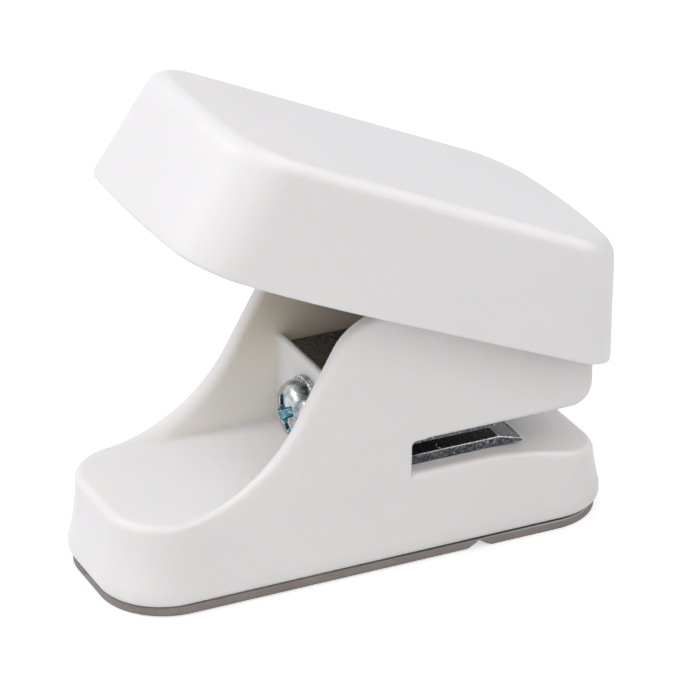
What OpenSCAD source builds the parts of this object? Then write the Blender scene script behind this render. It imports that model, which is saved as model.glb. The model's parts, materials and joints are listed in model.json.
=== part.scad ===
// Small desk punch for disc-bound pages. A broad handle presses a mushroom-shaped punch
// through the paper's edge, and the cut chips fall into the hollow base.
// Millimetres. X runs from the user's end to the paper end, Z is up from the table,
// and the origin is under the middle of the base.

/* [Base] */
// Length of the base at its foot
base_l = 64.7; // [60:0.1:70]
// Width of the base at its foot
base_w = 24; // [23.4:0.2:26]
// Corner radius of the base in plan
base_r = 8; // [6:0.5:9]
// How far the foot flares out at both ends
foot_flare = 1; // [0.5:0.1:1.2]
// How far the foot flares out on the long sides
side_flare = 0.75; // [0.5:0.05:1]
// Height of the ledge above the table
deck_z = 11.5; // [10:0.25:14]
// Thickness of the ledge
deck_t = 2; // [1.5:0.25:2.5]
// Rounding of the ledge's edge
ledge_r = 1; // [0.8:0.1:2.5]
// Length of the sloping lead-in at the paper end
lead_in = 14.2; // [13:0.1:15]
// Slope of the lead-in, in degrees
lead_slope = 13.5; // [10:0.5:15]
// Thickness of the housing's walls
wall_t = 2.05; // [1.6:0.05:2.2]
// Thickness of the chip cover
cover_t = 1.3; // [1:0.1:2]
// Height of the cover's plug inside the base
plug_h = 1.8; // [1.4:0.1:4]
// Thickness of the cover's plug
plug_t = 1; // [0.8:0.1:1.5]
// Distance of the nick in the cover's near edge from the paper end
nick_in = 19.4; // [16:0.2:20]
// Width of the nick
nick_w = 2.6; // [2:0.1:5]
// Depth of the nick from below
nick_h = 0.9; // [0.4:0.1:0.9]

/* [Cheeks] */
// Height of the cheeks above the ledge
cheek_rise = 21.5; // [20.5:0.25:22.5]
// Where the cheeks' curve leaves the ledge, from the user's end
swoop_in = 5.4; // [4:0.1:7]
// Radius of the cheeks' hollow curve
swoop_r = 20; // [18:0.5:21]
// Steepest slope of the cheeks
cheek_slope = 60; // [55:1:65]
// Rounding of the cheeks at the top
brow_r = 4.5; // [3:0.25:6]
// Depth of the paper slot from the paper end of the base
slot_depth = 27.9; // [26:0.1:30]
// Height of the paper slot in the cheeks
slot_h = 4.2; // [4.2:0.1:5]
// How far the jaw stops short of the base
jaw_in = 3.95; // [3.8:0.05:5]
// Rounding under the jaw
jaw_r = 3; // [1.5:0.25:3]
// Height of the jaw's end wall
bridge_h = 5.5; // [4:0.25:6]
// Distance from the slot's end back to the cross wall's user face
cross_back = 8; // [7.6:0.1:9]
// Thickness of the cross wall
cross_t = 1; // [0.8:0.1:1.6]
// Height of the cross wall above the ledge
cross_rise = 11; // [10:0.2:12]

/* [Handle] */
// Length of the handle's rim without its bowed ends
handle_l = 58.9; // [56:0.1:64]
// Width of the handle at its rim
handle_w = 34; // [33:0.25:38]
// Corner radius of the handle in plan
handle_r = 6.4; // [6:0.2:9]
// Thickness of the handle at its middle
handle_h = 14.65; // [14:0.05:17]
// How far the user's end bows outwards
user_bow = 1.6; // [0.5:0.1:2.2]
// How far the paper end bows outwards
paper_bow = 2.3; // [1.8:0.1:2.4]
// Tilt of the handle at rest
rest_tilt = 22.8; // [20:0.2:25]
// Angle between the handle's top and its rim
top_wedge = 1.4; // [0:0.1:3]
// Inset of the top at each side
side_inset = 1.45; // [0.5:0.05:2.5]
// Inset of the top at the user's end
user_inset = 2.2; // [0.5:0.1:4]
// Inset of the top at the paper end
paper_inset = 4.65; // [3:0.05:6]
// Rounding round the top
top_r = 1.8; // [1:0.1:2.5]
// Lift of the rim at the user's end
rim_rise = 0.9; // [0:0.1:2]
// Length over which the rim lifts
rim_reach = 24; // [15:1:30]
// Wall of the handle's shell
shell_t = 1.6; // [1.4:0.1:1.8]

/* [Lever] */
// Height of the axle above the ledge
pivot_rise = 16; // [15:0.25:17]
// Distance of the axle in from the jaw's end
pivot_in = 5.4; // [5:0.05:5.5]
// Distance of the axle in from the paper end of the rim
pivot_inset = 7.65; // [7.6:0.05:10]
// Height of the axle above the rim's plane
pivot_lift = 2.7; // [2:0.1:4]
// Diameter of the axle
axle_d = 4; // [3:0.25:5]
// How far the handle turns when it is pressed
press_angle = 17.5; // [15:0.25:18]
// Sheet thickness of the lever
lever_t = 1.5; // [1:0.1:2]
// Length of the lever from the axle towards the user
lever_l = 36; // [32:0.5:40]
// Diameter of the press bar
bar_d = 6; // [5:0.25:6.5]
// How far the press bar stands ahead of the stem at rest
bar_lead = 0.95; // [0.5:0.05:1.4]
// Gap between the press bar and the stem at rest
bar_gap = 0.3; // [0.2:0.05:0.5]
// Diameter of the lever's screws
lever_screw_d = 2.9; // [2.5:0.1:3.5]
// Distances of the lever's screws from the axle
lever_screw_at = [8, 29.5];
// Thickness of the washers beside the lever
washer_t = 0.5; // [0.3:0.05:0.8]
// Thickness of the axle's clips
axle_clip_t = 0.8; // [0.5:0.1:1]
// Width of the axle's clips round the axle
axle_clip_rim = 1.75; // [1:0.05:2]
// Wall of the lever round the axle
lug_wall = 2; // [1.6:0.1:2.2]
// Wall of the lever round the press bar
bar_wall = 1; // [0.8:0.1:1.2]
// Head rim of the lever's screws
lever_head_rim = 1.35; // [1:0.05:1.5]
// Head height of the lever's screws
lever_head_h = 2; // [1.4:0.1:2]
// Wall of the handle's bosses round these screws
boss_wall = 1.85; // [1.4:0.05:2.2]

/* [Punch] */
// Distance of the paper stop from the slot's end
stop_in = 1; // [0.5:0.1:1.5]
// Depth of the cut hole from the paper's edge
hole_depth = 6.5; // [5.5:0.1:7]
// Width of the mushroom's cap
cap_w = 6.2; // [5:0.1:6.4]
// Width of the mushroom's neck
neck_w = 2.8; // [2:0.1:3.5]
// How far the neck reaches past the paper's edge
neck_over = 0.6; // [0.4:0.05:0.8]
// Distance of the stem from the paper stop
stem_in = 2.5; // [2.4:0.05:3]
// Diameter of the stem
stem_d = 5; // [4:0.1:5.2]
// Thickness of the die and guide plates and of the bracket
plate_t = 1.2; // [1:0.05:1.4]
// Gap for the paper between the plates
paper_gap = 1.5; // [1:0.05:1.8]
// Height of the punch tip above the paper gap at rest
tip_rest = 0.2; // [0.1:0.05:0.5]
// Clear height inside the bracket
frame_clear = 4; // [4:0.1:4.6]
// Gap between the plates and the cheeks
plate_side = 0.3; // [0.2:0.05:1]
// How far the bracket stands in from the plates' sides
frame_in = 0.5; // [0.3:0.05:1]
// Reach of the die plate past the paper stop
die_reach = 14.7; // [12:0.1:16]
// Length of the die plate's bevelled lead-in
die_bevel = 3.1; // [2:0.1:4]
// Edge left at the lead-in's tip
die_lip = 0.3; // [0.2:0.05:0.6]
// Reach of the guide plate past the paper stop
guide_reach = 11; // [9:0.25:13]
// Reach of the bracket's top flange past the paper stop
flange_reach = 7.5; // [6.5:0.25:9]

/* [Spring] */
// Length of the return spring at rest
spring_l = 8.4; // [8:0.1:9.4]
// Wire diameter of the spring
wire_d = 0.7; // [0.5:0.05:0.8]
// Middle diameter of the spring's curls
coil_d = 7.2; // [6.6:0.1:7.6]
// Curls in the spring
curls = 3.5; // [2.5:0.5:3.5]
// Thickness of the collar on the spring
collar_t = 1; // [0.8:0.1:1.4]
// Diameter of the collar's flange
collar_d = 9; // [8.4:0.1:10]
// Thickness of the stem's clip
clip_t = 0.7; // [0.5:0.05:1]
// Diameter of the stem's clip
clip_d = 7.6; // [6.5:0.1:8.4]
// Depth of the clip's groove
groove_t = 0.5; // [0.3:0.05:0.7]
// Length of the stem above its clip
stem_tail = 1.1; // [0.8:0.1:1.6]

/* [Fasteners] */
// Diameter of the screw in the cross wall
screw_d = 3.9; // [3:0.1:4.2]
// Head diameter of that screw
screw_head_d = 8.2; // [7:0.1:8.6]
// Head height of that screw
screw_head_h = 3.2; // [2:0.1:3.4]
// Length of that screw under its head
screw_l = 6; // [5:0.25:6.5]
// Height of that screw above the ledge
screw_rise = 5.4; // [5.4:0.1:6.2]
// Wall of the bracket's threaded neck round that screw
neck_wall = 0.65; // [0.5:0.05:0.65]
// Length of that neck behind the bracket
neck_l = 2.4; // [1.8:0.1:2.6]
// Diameter of the rivets
rivet_d = 3; // [2.5:0.1:3.2]
// Head rim of the rivets
rivet_rim = 1; // [0.6:0.1:1.2]
// Head height of the rivets
rivet_head_h = 0.9; // [0.6:0.1:1.2]
// Distance of the rivets from the plates' sides
rivet_edge = 2.7; // [2.5:0.1:3.2]
// Distance of the rivets behind the bracket's upright
rivet_back = 2.9; // [2.7:0.1:3.2]

/* [Hidden] */
$fn = 64;

// Clearances: running fits, fixed pins, loose neighbours and moving neighbours
run_gap = 0.05;
pin_gap = 0.02;
seat_gap = 0.05;
free_gap = 0.3;
chip_gap = 0.8;
// Overlap of cutting tools past the faces that they open
over = 1;

// Base
foot_band = 0.8;
foot_z = cover_t + foot_band;
flare_z = deck_z - ledge_r;
// The cheeks stand in a little from the base under them
cheek_step = 0.05;
flare_in = foot_flare - cheek_step;
side_in = side_flare - cheek_step;
cheek_half = base_w / 2 - side_flare;
inner_half = cheek_half - wall_t;
bin_l = base_l - 2 * (foot_flare + wall_t);
bin_w = 2 * inner_half;
bin_r = base_r - foot_flare - wall_t;
bin_top = deck_z - deck_t;
cover_inset = 0.35;
nick_x = base_l / 2 - nick_in;

// Cheeks and jaw
cheek_top = deck_z + cheek_rise;
swoop_x = swoop_in - base_l / 2;
swoop_z = deck_z + swoop_r;
// The slope leaves the hollow curve this many degrees before it would run along it
swoop_lead = 3;
slope_x = swoop_x + swoop_r * sin(cheek_slope - swoop_lead);
slope_z = swoop_z - swoop_r * cos(cheek_slope - swoop_lead);
brow_x = slope_x + (cheek_top - slope_z) / tan(cheek_slope);
brow_run = brow_r * tan(cheek_slope / 2);
slot_x = base_l / 2 - slot_depth;
slot_top = deck_z + slot_h;
jaw_x = base_l / 2 - jaw_in;
cross_x = slot_x - cross_back;
cross_top = deck_z + cross_rise;

// Plates and bracket, from the ledge up
stop_x = slot_x + stop_in;
stack_x = cross_x + cross_t;
plate_w = 2 * (inner_half - plate_side);
frame_w = plate_w - 2 * frame_in;
gap_z = deck_z + plate_t;
guide_z = gap_z + paper_gap;
flange_z = guide_z + plate_t;
frame_low = flange_z + plate_t;
frame_high = frame_low + frame_clear;
frame_top = frame_high + plate_t;
screw_z = deck_z + screw_rise;
neck_r = screw_d / 2 + pin_gap + neck_wall;
neck_end = stack_x + plate_t + neck_l;
window_w = 2 * (neck_r + free_gap);
window_end = max(neck_end, cross_x + screw_l) + free_gap;
rivet_x = stack_x + plate_t + rivet_back;
rivet_span = plate_w - 2 * rivet_edge;
rivet_head_d = rivet_d + 2 * rivet_rim;

// Punch and spring
stem_x = stop_x + stem_in;
cap_x = stop_x + hole_depth - cap_w / 2;
tip_z = guide_z + tip_rest;
shoulder_drop = 0.2;
shoulder_z = frame_high - shoulder_drop;
collar_z = frame_top + spring_l;
clip_z = collar_z + collar_t;
stem_top = clip_z + clip_t + stem_tail;
groove_d = stem_d - 2 * groove_t;

// Axle, press bar and the punch's travel
pivot_x = jaw_x - pivot_in;
pivot_z = deck_z + pivot_rise;
bar_x = stem_x + bar_lead;
bar_z = stem_top + bar_gap + bar_d / 2;
bar_arm = norm([pivot_x - bar_x, bar_z - pivot_z]);
bar_angle = atan2(bar_z - pivot_z, pivot_x - bar_x);
travel = bar_arm * (sin(bar_angle) - sin(bar_angle - press_angle));

// The handle's own frame: u along the rim, v across, w up from the rim's plane
pivot_u = handle_l / 2 - pivot_inset;
pivot_w = pivot_lift;
bar_u = pivot_u + (bar_x - pivot_x) * cos(rest_tilt) - (bar_z - pivot_z) * sin(rest_tilt);
bar_w = pivot_w + (bar_x - pivot_x) * sin(rest_tilt) + (bar_z - pivot_z) * cos(rest_tilt);
handle_x = pivot_x - pivot_u * cos(rest_tilt) - pivot_w * sin(rest_tilt);
handle_z = pivot_z + pivot_u * sin(rest_tilt) - pivot_w * cos(rest_tilt);
web_low = bar_w + bar_d / 2 + free_gap;
web_top = web_low + lever_t;
lever_half = inner_half - washer_t - 2 * run_gap;
lug_r = axle_d / 2 + lug_wall;
bar_lug_r = bar_d / 2 + bar_wall;
lever_head_d = lever_screw_d + 2 * lever_head_rim;
boss_d = lever_screw_d + 2 * boss_wall;
axle_tail = 0.4;
// Where the ends' bow starts, in corner radii from the end
bow_start = 1.6;
axle_half = cheek_half + axle_clip_t + axle_tail;
axle_clip_d = axle_d + 2 * axle_clip_rim;

// Steps in the handle's outline and in the spring
arc_steps = 8;
side_steps = 10;
end_steps = 6;
fillet_steps = 4;
flare_steps = 4;
curl_rings = 8;
wire_sides = 6;

white = [0.93, 0.93, 0.92];
grey = [0.56, 0.54, 0.52];
dark_steel = [0.34, 0.35, 0.36];
bright_steel = [0.70, 0.71, 0.73];
zinc = [0.74, 0.78, 0.83];

echo(travel = travel, ratio_m_per_rad = travel / 1000 / (press_angle * PI / 180));
echo(pivot = [pivot_x, pivot_z], spring_foot = frame_top, screw_z = screw_z);

// Rounded rectangle about the origin
module plan_shape(l, w, r) {
    square([l - 2 * r, w], center = true);
    square([l, w - 2 * r], center = true);
    for (sx = [-1, 1], sy = [-1, 1])
        translate([sx * (l / 2 - r), sy * (w / 2 - r)]) circle(r);
}

// The square corner left outside a quarter circle, for rounding a convex corner
module corner(r) {
    difference() {
        square(r + over);
        circle(r);
        translate([-over, -over]) square([over, r + 3 * over]);
        translate([-over, -over]) square([r + 3 * over, over]);
    }
}

// Extrudes a side outline across the whole width
module across(w) {
    rotate([90, 0, 0]) linear_extrude(w, center = true) children();
}

// Round bar across the part
module cross_bar(x, z, r, w) {
    translate([x, 0, z]) rotate([90, 0, 0]) cylinder(r = r, h = w, center = true);
}

// Rounded outline as points, with its ends and sides divided into steps
function arc_points(x, y, r, from) =
    [for (i = [0 : arc_steps]) let (a = from + 90 * i / arc_steps) [x + r * cos(a), y + r * sin(a)]];
function line_points(p, q, n) = [if (n > 1) for (i = [1 : n - 1]) p + (q - p) * i / n];
function round_plan(l, w, r, ends, sides) = let (a = l / 2 - r, b = w / 2 - r) concat(
    arc_points(a, -b, r, -90), line_points([l / 2, -b], [l / 2, b], ends),
    arc_points(a, b, r, 0), line_points([a, w / 2], [-a, w / 2], sides),
    arc_points(-a, b, r, 90), line_points([-l / 2, b], [-l / 2, -b], ends),
    arc_points(-a, -b, r, 180), line_points([-a, -w / 2], [a, -w / 2], sides)
);

// Triangles between rings of n points, with the first and last ring closed by a middle point
function skin_faces(n, rings) = concat(
    [for (j = [0 : n - 1]) [rings * n, (j + 1) % n, j]],
    [for (i = [0 : rings - 2], j = [0 : n - 1])
        [i * n + j, i * n + (j + 1) % n, (i + 1) * n + (j + 1) % n]],
    [for (i = [0 : rings - 2], j = [0 : n - 1])
        [i * n + j, (i + 1) * n + (j + 1) % n, (i + 1) * n + j]],
    [for (j = [0 : n - 1]) [rings * n + 1, (rings - 1) * n + j, (rings - 1) * n + (j + 1) % n]]
);
function middle(ring) = [for (k = [0 : 2]) let (v = [for (p = ring) p[k]]) (min(v) + max(v)) / 2];
module skin(rings) {
    n = len(rings[0]);
    ends = [middle(rings[0]), middle(rings[len(rings) - 1])];
    polyhedron(concat([for (ring = rings) each ring], ends), skin_faces(n, len(rings)));
}

// Outline of the base's foot, and one of its points moved in from the ends and the sides
foot_plan = round_plan(base_l, base_w, base_r, 1, 1);
function moved_in(p, ends, sides) = let (
    x = sign(p[0]) * max(0, abs(p[0]) - base_l / 2 + base_r),
    y = sign(p[1]) * max(0, abs(p[1]) - base_w / 2 + base_r)
) p - [ends * x, sides * y] / norm([x, y]);
function base_ring(flare, inset, z) =
    [for (p = foot_plan) concat(moved_in(p, flare_in * flare + inset, side_in * flare + inset), z)];

// Rings of the base, from its rounded ledge down its flared sides to the foot
base_rings = concat(
    [for (i = [fillet_steps : -1 : 1]) let (a = 90 * i / fillet_steps)
        base_ring(1, ledge_r * (1 - cos(a)), deck_z - ledge_r * (1 - sin(a)))],
    [for (i = [flare_steps : -1 : 0]) let (t = i / flare_steps)
        base_ring(1 - pow(1 - t, 2), 0, foot_z + t * (flare_z - foot_z))],
    [base_ring(0, 0, cover_t)]
);

// Space above the lead-in at the paper end
module lead_space() {
    start = base_l / 2 - lead_in;
    reach = lead_in + over;
    across(base_w + 2 * over) polygon([
        [start, deck_z], [start + reach, deck_z - reach * tan(lead_slope)],
        [start + reach, deck_z + over], [start, deck_z + over]
    ]);
}

// The cheeks' outline in plan, rounded at the user's end only
cheek_plan = concat(
    [[base_l / 2, -cheek_half], [base_l / 2, cheek_half]],
    [for (p = foot_plan) if (p[0] < 0) moved_in(p, foot_flare, side_flare)]
);

// The cheeks seen from the side, from the hollow curve to the jaw over the paper slot
module cheek_block(w) {
    brow = [brow_x + brow_run, cheek_top - brow_r];
    difference() {
        union() {
            across(w) polygon([
                [-base_l / 2, flare_z - over], [-base_l / 2, flare_z],
                [swoop_x + over, deck_z + over / 2],
                [slope_x - over * cos(cheek_slope), slope_z - over * sin(cheek_slope)],
                brow + brow_r * [-sin(cheek_slope), cos(cheek_slope)], [brow[0], cheek_top],
                [pivot_x, pivot_z + pivot_in], [jaw_x, pivot_z], [jaw_x, slot_top],
                [slot_x, slot_top], [slot_x, flare_z - over]
            ]);
            cross_bar(brow[0], brow[1], brow_r, w);
            cross_bar(pivot_x, pivot_z, pivot_in, w);
        }
        cross_bar(swoop_x, swoop_z, swoop_r, w + 2 * over);
        across(w + 2 * over) translate([jaw_x - jaw_r, slot_top + jaw_r]) mirror([0, 1]) corner(jaw_r);
    }
}

// Mushroom outline of the cut hole, grown by a gap
module mushroom(gap) {
    neck_x = stop_x - neck_over - gap;
    translate([neck_x, -neck_w / 2 - gap]) square([cap_x - neck_x + over, neck_w + 2 * gap]);
    difference() {
        translate([cap_x, 0]) circle(cap_w / 2 + gap);
        translate([cap_x - gap - cap_w, -cap_w]) square([cap_w, 2 * cap_w]);
    }
}

// Open space between the cheeks, without the cross wall and the jaw's end wall
module channel() {
    difference() {
        translate([-base_l / 2 - over, -inner_half, 0])
            cube([base_l + 2 * over, 2 * inner_half, cheek_top + pivot_in]);
        translate([cross_x, -cheek_half, 0]) cube([cross_t, 2 * cheek_half, cross_top]);
        translate([jaw_x - wall_t, -cheek_half, slot_top])
            cube([wall_t, 2 * cheek_half, bridge_h]);
    }
}

module housing() {
    color(white) difference() {
        union() {
            difference() {
                skin(base_rings);
                lead_space();
            }
            difference() {
                intersection() {
                    cheek_block(base_w);
                    linear_extrude(cheek_top + over) polygon(cheek_plan);
                }
                channel();
            }
        }
        difference() {
            translate([0, 0, cover_t - over]) linear_extrude(bin_top - cover_t + over)
                plan_shape(bin_l, bin_w, bin_r);
            translate([0, 0, -deck_t]) lead_space();
        }
        translate([0, 0, bin_top - over]) linear_extrude(deck_t + 2 * over) mushroom(chip_gap);
        translate([cross_x - over, 0, screw_z]) rotate([0, 90, 0])
            cylinder(d = screw_d + 2 * free_gap, h = cross_t + 2 * over);
        cross_bar(pivot_x, pivot_z, axle_d / 2 + pin_gap, base_w + 2 * over);
    }
}

module chip_cover() {
    plug_l = bin_l - 2 * free_gap;
    plug_w = bin_w - 2 * free_gap;
    plug_r = bin_r - free_gap;
    color(grey) difference() {
        union() {
            linear_extrude(cover_t - seat_gap)
                plan_shape(base_l - 2 * cover_inset, base_w - 2 * cover_inset, base_r - cover_inset);
            linear_extrude(cover_t + plug_h) difference() {
                plan_shape(plug_l, plug_w, plug_r);
                plan_shape(plug_l - 2 * plug_t, plug_w - 2 * plug_t, plug_r - plug_t);
            }
        }
        translate([nick_x, -base_w / 2, 0]) across(base_w / 4)
            polygon([[-nick_w / 2, -over], [-nick_w / 2, 0], [0, nick_h], [nick_w / 2, 0],
                     [nick_w / 2, -over]]);
    }
}

// Through holes for the rivets
module rivet_holes() {
    for (s = [-1, 1])
        translate([rivet_x, s * rivet_span / 2, deck_z - over])
            cylinder(d = rivet_d + 2 * pin_gap, h = frame_top - deck_z);
}

// Room for the bracket's threaded neck in the plates under it
module neck_window() {
    translate([stack_x - over, -window_w / 2, guide_z - over])
        cube([window_end - stack_x + over, window_w, frame_low - guide_z + 2 * over]);
}

module tool_frame() {
    color(dark_steel) difference() {
        union() {
            difference() {
                across(frame_w) polygon([
                    [stack_x, flange_z], [stop_x + guide_reach, flange_z],
                    [stop_x + guide_reach, frame_low], [stack_x + plate_t, frame_low],
                    [stack_x + plate_t, frame_high], [stop_x + flange_reach, frame_high],
                    [stop_x + flange_reach, frame_top], [stack_x, frame_top]
                ]);
                translate([plate_t + over, 0, 0]) neck_window();
                translate([0, 0, flange_z - over]) linear_extrude(plate_t + 2 * over)
                    mushroom(chip_gap);
                translate([stem_x, 0, flange_z - over])
                    cylinder(d = stem_d + 2 * chip_gap, h = plate_t + 2 * over);
                translate([stem_x, 0, frame_high - over])
                    cylinder(d = stem_d + 2 * run_gap, h = plate_t + 2 * over);
                rivet_holes();
            }
            translate([stack_x, 0, screw_z]) rotate([0, 90, 0])
                cylinder(r = neck_r, h = neck_end - stack_x);
        }
        translate([stack_x - over, 0, screw_z]) rotate([0, 90, 0])
            cylinder(d = screw_d + 2 * pin_gap, h = neck_end - stack_x + 2 * over);
    }
}

module die_plate() {
    tip_x = stop_x + die_reach;
    color(bright_steel) difference() {
        across(plate_w) polygon([
            [stack_x, deck_z], [tip_x, deck_z], [tip_x, deck_z + die_lip],
            [tip_x - die_bevel, gap_z], [stack_x, gap_z]
        ]);
        translate([0, 0, deck_z - over]) linear_extrude(plate_t + 2 * over) mushroom(run_gap);
        rivet_holes();
    }
}

module gap_spacer() {
    color(dark_steel) difference() {
        translate([stack_x, -plate_w / 2, gap_z])
            cube([stop_x - stack_x, plate_w, paper_gap]);
        translate([0, 0, gap_z - over]) linear_extrude(paper_gap + 2 * over) mushroom(free_gap);
        rivet_holes();
    }
}

module guide_plate() {
    color(bright_steel) difference() {
        translate([stack_x, -plate_w / 2, guide_z])
            cube([stop_x + guide_reach - stack_x, plate_w, plate_t]);
        neck_window();
        translate([0, 0, guide_z - over]) linear_extrude(plate_t + 2 * over) mushroom(run_gap);
        rivet_holes();
    }
}

module frame_rivets() {
    color(bright_steel) for (s = [-1, 1])
        translate([rivet_x, s * rivet_span / 2, 0]) {
            translate([0, 0, deck_z]) cylinder(d = rivet_d, h = frame_low - deck_z);
            translate([0, 0, frame_low]) cylinder(d = rivet_head_d, h = rivet_head_h);
        }
}

// Pan head with its face up, its rim rounded, and a cross recess
module pan_head(d, h) {
    round_r = h * 0.45;
    slot_w = d * 0.13;
    difference() {
        rotate_extrude() {
            square([d / 2 - round_r, h]);
            square([d / 2, h - round_r]);
            translate([d / 2 - round_r, h - round_r]) circle(round_r);
        }
        for (a = [0, 90]) rotate(a)
            translate([-d * 0.28, -slot_w / 2, h * 0.45]) cube([d * 0.56, slot_w, h]);
    }
}

module frame_screw() {
    color(zinc) translate([cross_x, 0, screw_z]) rotate([0, -90, 0]) {
        pan_head(screw_head_d, screw_head_h);
        translate([0, 0, -screw_l]) cylinder(d = screw_d, h = screw_l + over);
    }
}

module handle_axle() {
    color(bright_steel) cross_bar(pivot_x, pivot_z, axle_d / 2, 2 * axle_half);
}

// Flat ring on the axle, starting at a distance from the middle plane
module axle_ring(from, d, bore, t) {
    for (s = [-1, 1])
        translate([pivot_x, s * (from + t / 2), pivot_z]) rotate([90, 0, 0]) difference() {
            cylinder(d = d, h = t, center = true);
            cylinder(d = bore, h = t + 2 * over, center = true);
        }
}

module axle_clips() {
    color(dark_steel)
        axle_ring(cheek_half + pin_gap, axle_clip_d, axle_d + 2 * pin_gap, axle_clip_t);
}

module lever_washers() {
    color(zinc) axle_ring(lever_half + pin_gap, 2 * lug_r, axle_d + 2 * run_gap, washer_t);
}

// Points of the spring's middle line and of the rings round it
spring_low = frame_top + wire_d / 2 + seat_gap;
spring_rise = spring_l - wire_d - 2 * seat_gap;
spring_rings = curls * curl_rings;
function spring_ring(i) = let (a = 360 * i / curl_rings) [
    for (k = [0 : wire_sides - 1]) let (
        b = 360 * k / wire_sides,
        r = coil_d / 2 + wire_d / 2 * cos(b)
    ) [stem_x + r * cos(a), r * sin(a),
       spring_low + spring_rise * i / spring_rings + wire_d / 2 * sin(b)]
];
function spring_mid(i) = let (a = 360 * i / curl_rings)
    [coil_d / 2 * cos(a), coil_d / 2 * sin(a), spring_rise * i / spring_rings];
spring_self_gap = min([
    for (i = [0 : spring_rings - curl_rings / 2], j = [i + curl_rings / 2 : spring_rings])
        norm(spring_mid(i) - spring_mid(j))
]) - wire_d;
echo(spring_self_gap = spring_self_gap);

module return_spring() {
    color(bright_steel) skin([for (i = [0 : spring_rings]) spring_ring(i)]);
}

// Both ends of an outline bowed outwards
function bowed(points, l, w, r) = [
    for (p = points) let (
        reach = bow_start * r,
        near_end = max(0, abs(p[0]) - l / 2 + reach) / reach,
        bow = p[0] < 0 ? -user_bow : paper_bow
    ) [p[0] + bow * (1 - pow(2 * p[1] / w, 2)) * near_end, p[1]]
];
// Height of the top, and of the rim, along the handle
function top_at(u) = handle_h - u * tan(top_wedge);
function rim_at(u) = rim_rise * pow(max(0, rim_reach - handle_l / 2 - u) / rim_reach, 2);

// One ring of the handle, f of the way from rim to top, moved in by an inset
function handle_ring(f, inset) = let (
    l = handle_l - (user_inset + paper_inset) * f - 2 * inset,
    w = handle_w - 2 * side_inset * f - 2 * inset,
    r = handle_r - inset,
    shift = (user_inset - paper_inset) / 2 * f
) [
    for (p = bowed(round_plan(l, w, r, end_steps, side_steps), l, w, r)) let (u = p[0] + shift)
        [u, p[1], rim_at(u) * (1 - f) + top_at(u) * f]
];
side_end = 1 - top_r / handle_h;
ceiling = 1 - shell_t / handle_h;
function fillet_ring(a) = handle_ring(1 - (1 - side_end) * (1 - sin(a)), top_r * (1 - cos(a)));

// Places a shape from the handle's own frame
module in_handle() {
    translate([handle_x, 0, handle_z]) rotate([0, rest_tilt, 0]) children();
}

module handle_cap() {
    outer = concat(
        [for (i = [fillet_steps : -1 : 1]) fillet_ring(90 * i / fillet_steps)],
        [for (f = [side_end, side_end / 2, 0]) handle_ring(f, 0)]
    );
    inner = [for (f = [0, ceiling / 2, ceiling]) handle_ring(f, shell_t)];
    color(white) in_handle() difference() {
        union() {
            skin(concat(outer, inner));
            for (d = lever_screw_at)
                translate([pivot_u - d, 0, web_top])
                    cylinder(d = boss_d, h = lever_grip(d));
        }
        for (d = lever_screw_at)
            translate([pivot_u - d, 0, web_top - over])
                cylinder(d = lever_screw_d + 2 * pin_gap, h = lever_grip(d) + over);
    }
}
// Length of a lever screw inside its boss
function lever_grip(d) = top_at(pivot_u - d) - web_top - shell_t / 2;

// The lever seen from the side, in the handle's own frame
module lever_block() {
    user_u = pivot_u - lever_l;
    across(2 * lever_half) polygon([
        [user_u, web_low - lever_t], [user_u, web_top], [pivot_u - lug_r, web_top],
        [pivot_u + lug_r, pivot_w + lug_r / 2], [pivot_u + lug_r, pivot_w],
        [pivot_u, pivot_w - lug_r], [bar_u, bar_w - bar_lug_r], [bar_u - bar_lug_r, bar_w]
    ]);
    cross_bar(pivot_u, pivot_w, lug_r, 2 * lever_half);
    cross_bar(bar_u, bar_w, bar_lug_r, 2 * lever_half);
}

module press_lever() {
    color(dark_steel) in_handle() difference() {
        lever_block();
        translate([-handle_l, lever_t - lever_half, -handle_h])
            cube([2 * handle_l, 2 * (lever_half - lever_t), handle_h + web_low]);
        cross_bar(pivot_u, pivot_w, axle_d / 2 + run_gap, 3 * lever_half);
        cross_bar(bar_u, bar_w, bar_d / 2 + pin_gap, 3 * lever_half);
        for (d = lever_screw_at)
            translate([pivot_u - d, 0, web_low - over])
                cylinder(d = lever_screw_d + 2 * free_gap, h = lever_t + 2 * over);
    }
}

module press_bar() {
    color(bright_steel) in_handle() cross_bar(bar_u, bar_w, bar_d / 2, 2 * lever_half);
}

module lever_screws() {
    color(zinc) in_handle() for (d = lever_screw_at)
        translate([pivot_u - d, 0, web_low]) {
            mirror([0, 0, 1]) pan_head(lever_head_d, lever_head_h);
            translate([0, 0, -over / 2])
                cylinder(d = lever_screw_d, h = over / 2 + lever_t + lever_grip(d) - free_gap);
        }
}

module punch_pin() {
    color(bright_steel) difference() {
        union() {
            translate([0, 0, tip_z]) linear_extrude(shoulder_z - tip_z) mushroom(0);
            translate([stem_x, 0, shoulder_z]) cylinder(d = stem_d, h = stem_top - shoulder_z);
        }
        translate([stem_x, 0, clip_z - pin_gap]) difference() {
            cylinder(d = stem_d + over, h = clip_t + 2 * pin_gap);
            translate([0, 0, -over]) cylinder(d = groove_d, h = clip_t + 3 * over);
        }
    }
}

module spring_cap() {
    color(dark_steel) translate([stem_x, 0, collar_z]) difference() {
        cylinder(d = collar_d, h = collar_t);
        translate([0, 0, -over]) cylinder(d = stem_d + 2 * pin_gap, h = collar_t + 2 * over);
    }
}

module stem_clip() {
    color(zinc) translate([stem_x, 0, clip_z]) difference() {
        cylinder(d = clip_d, h = clip_t);
        translate([0, 0, -over]) cylinder(d = groove_d + 2 * pin_gap, h = clip_t + 2 * over);
        translate([0, -groove_d * 0.4, -over]) cube([clip_d, groove_d * 0.8, clip_t + 2 * over]);
    }
}

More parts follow.
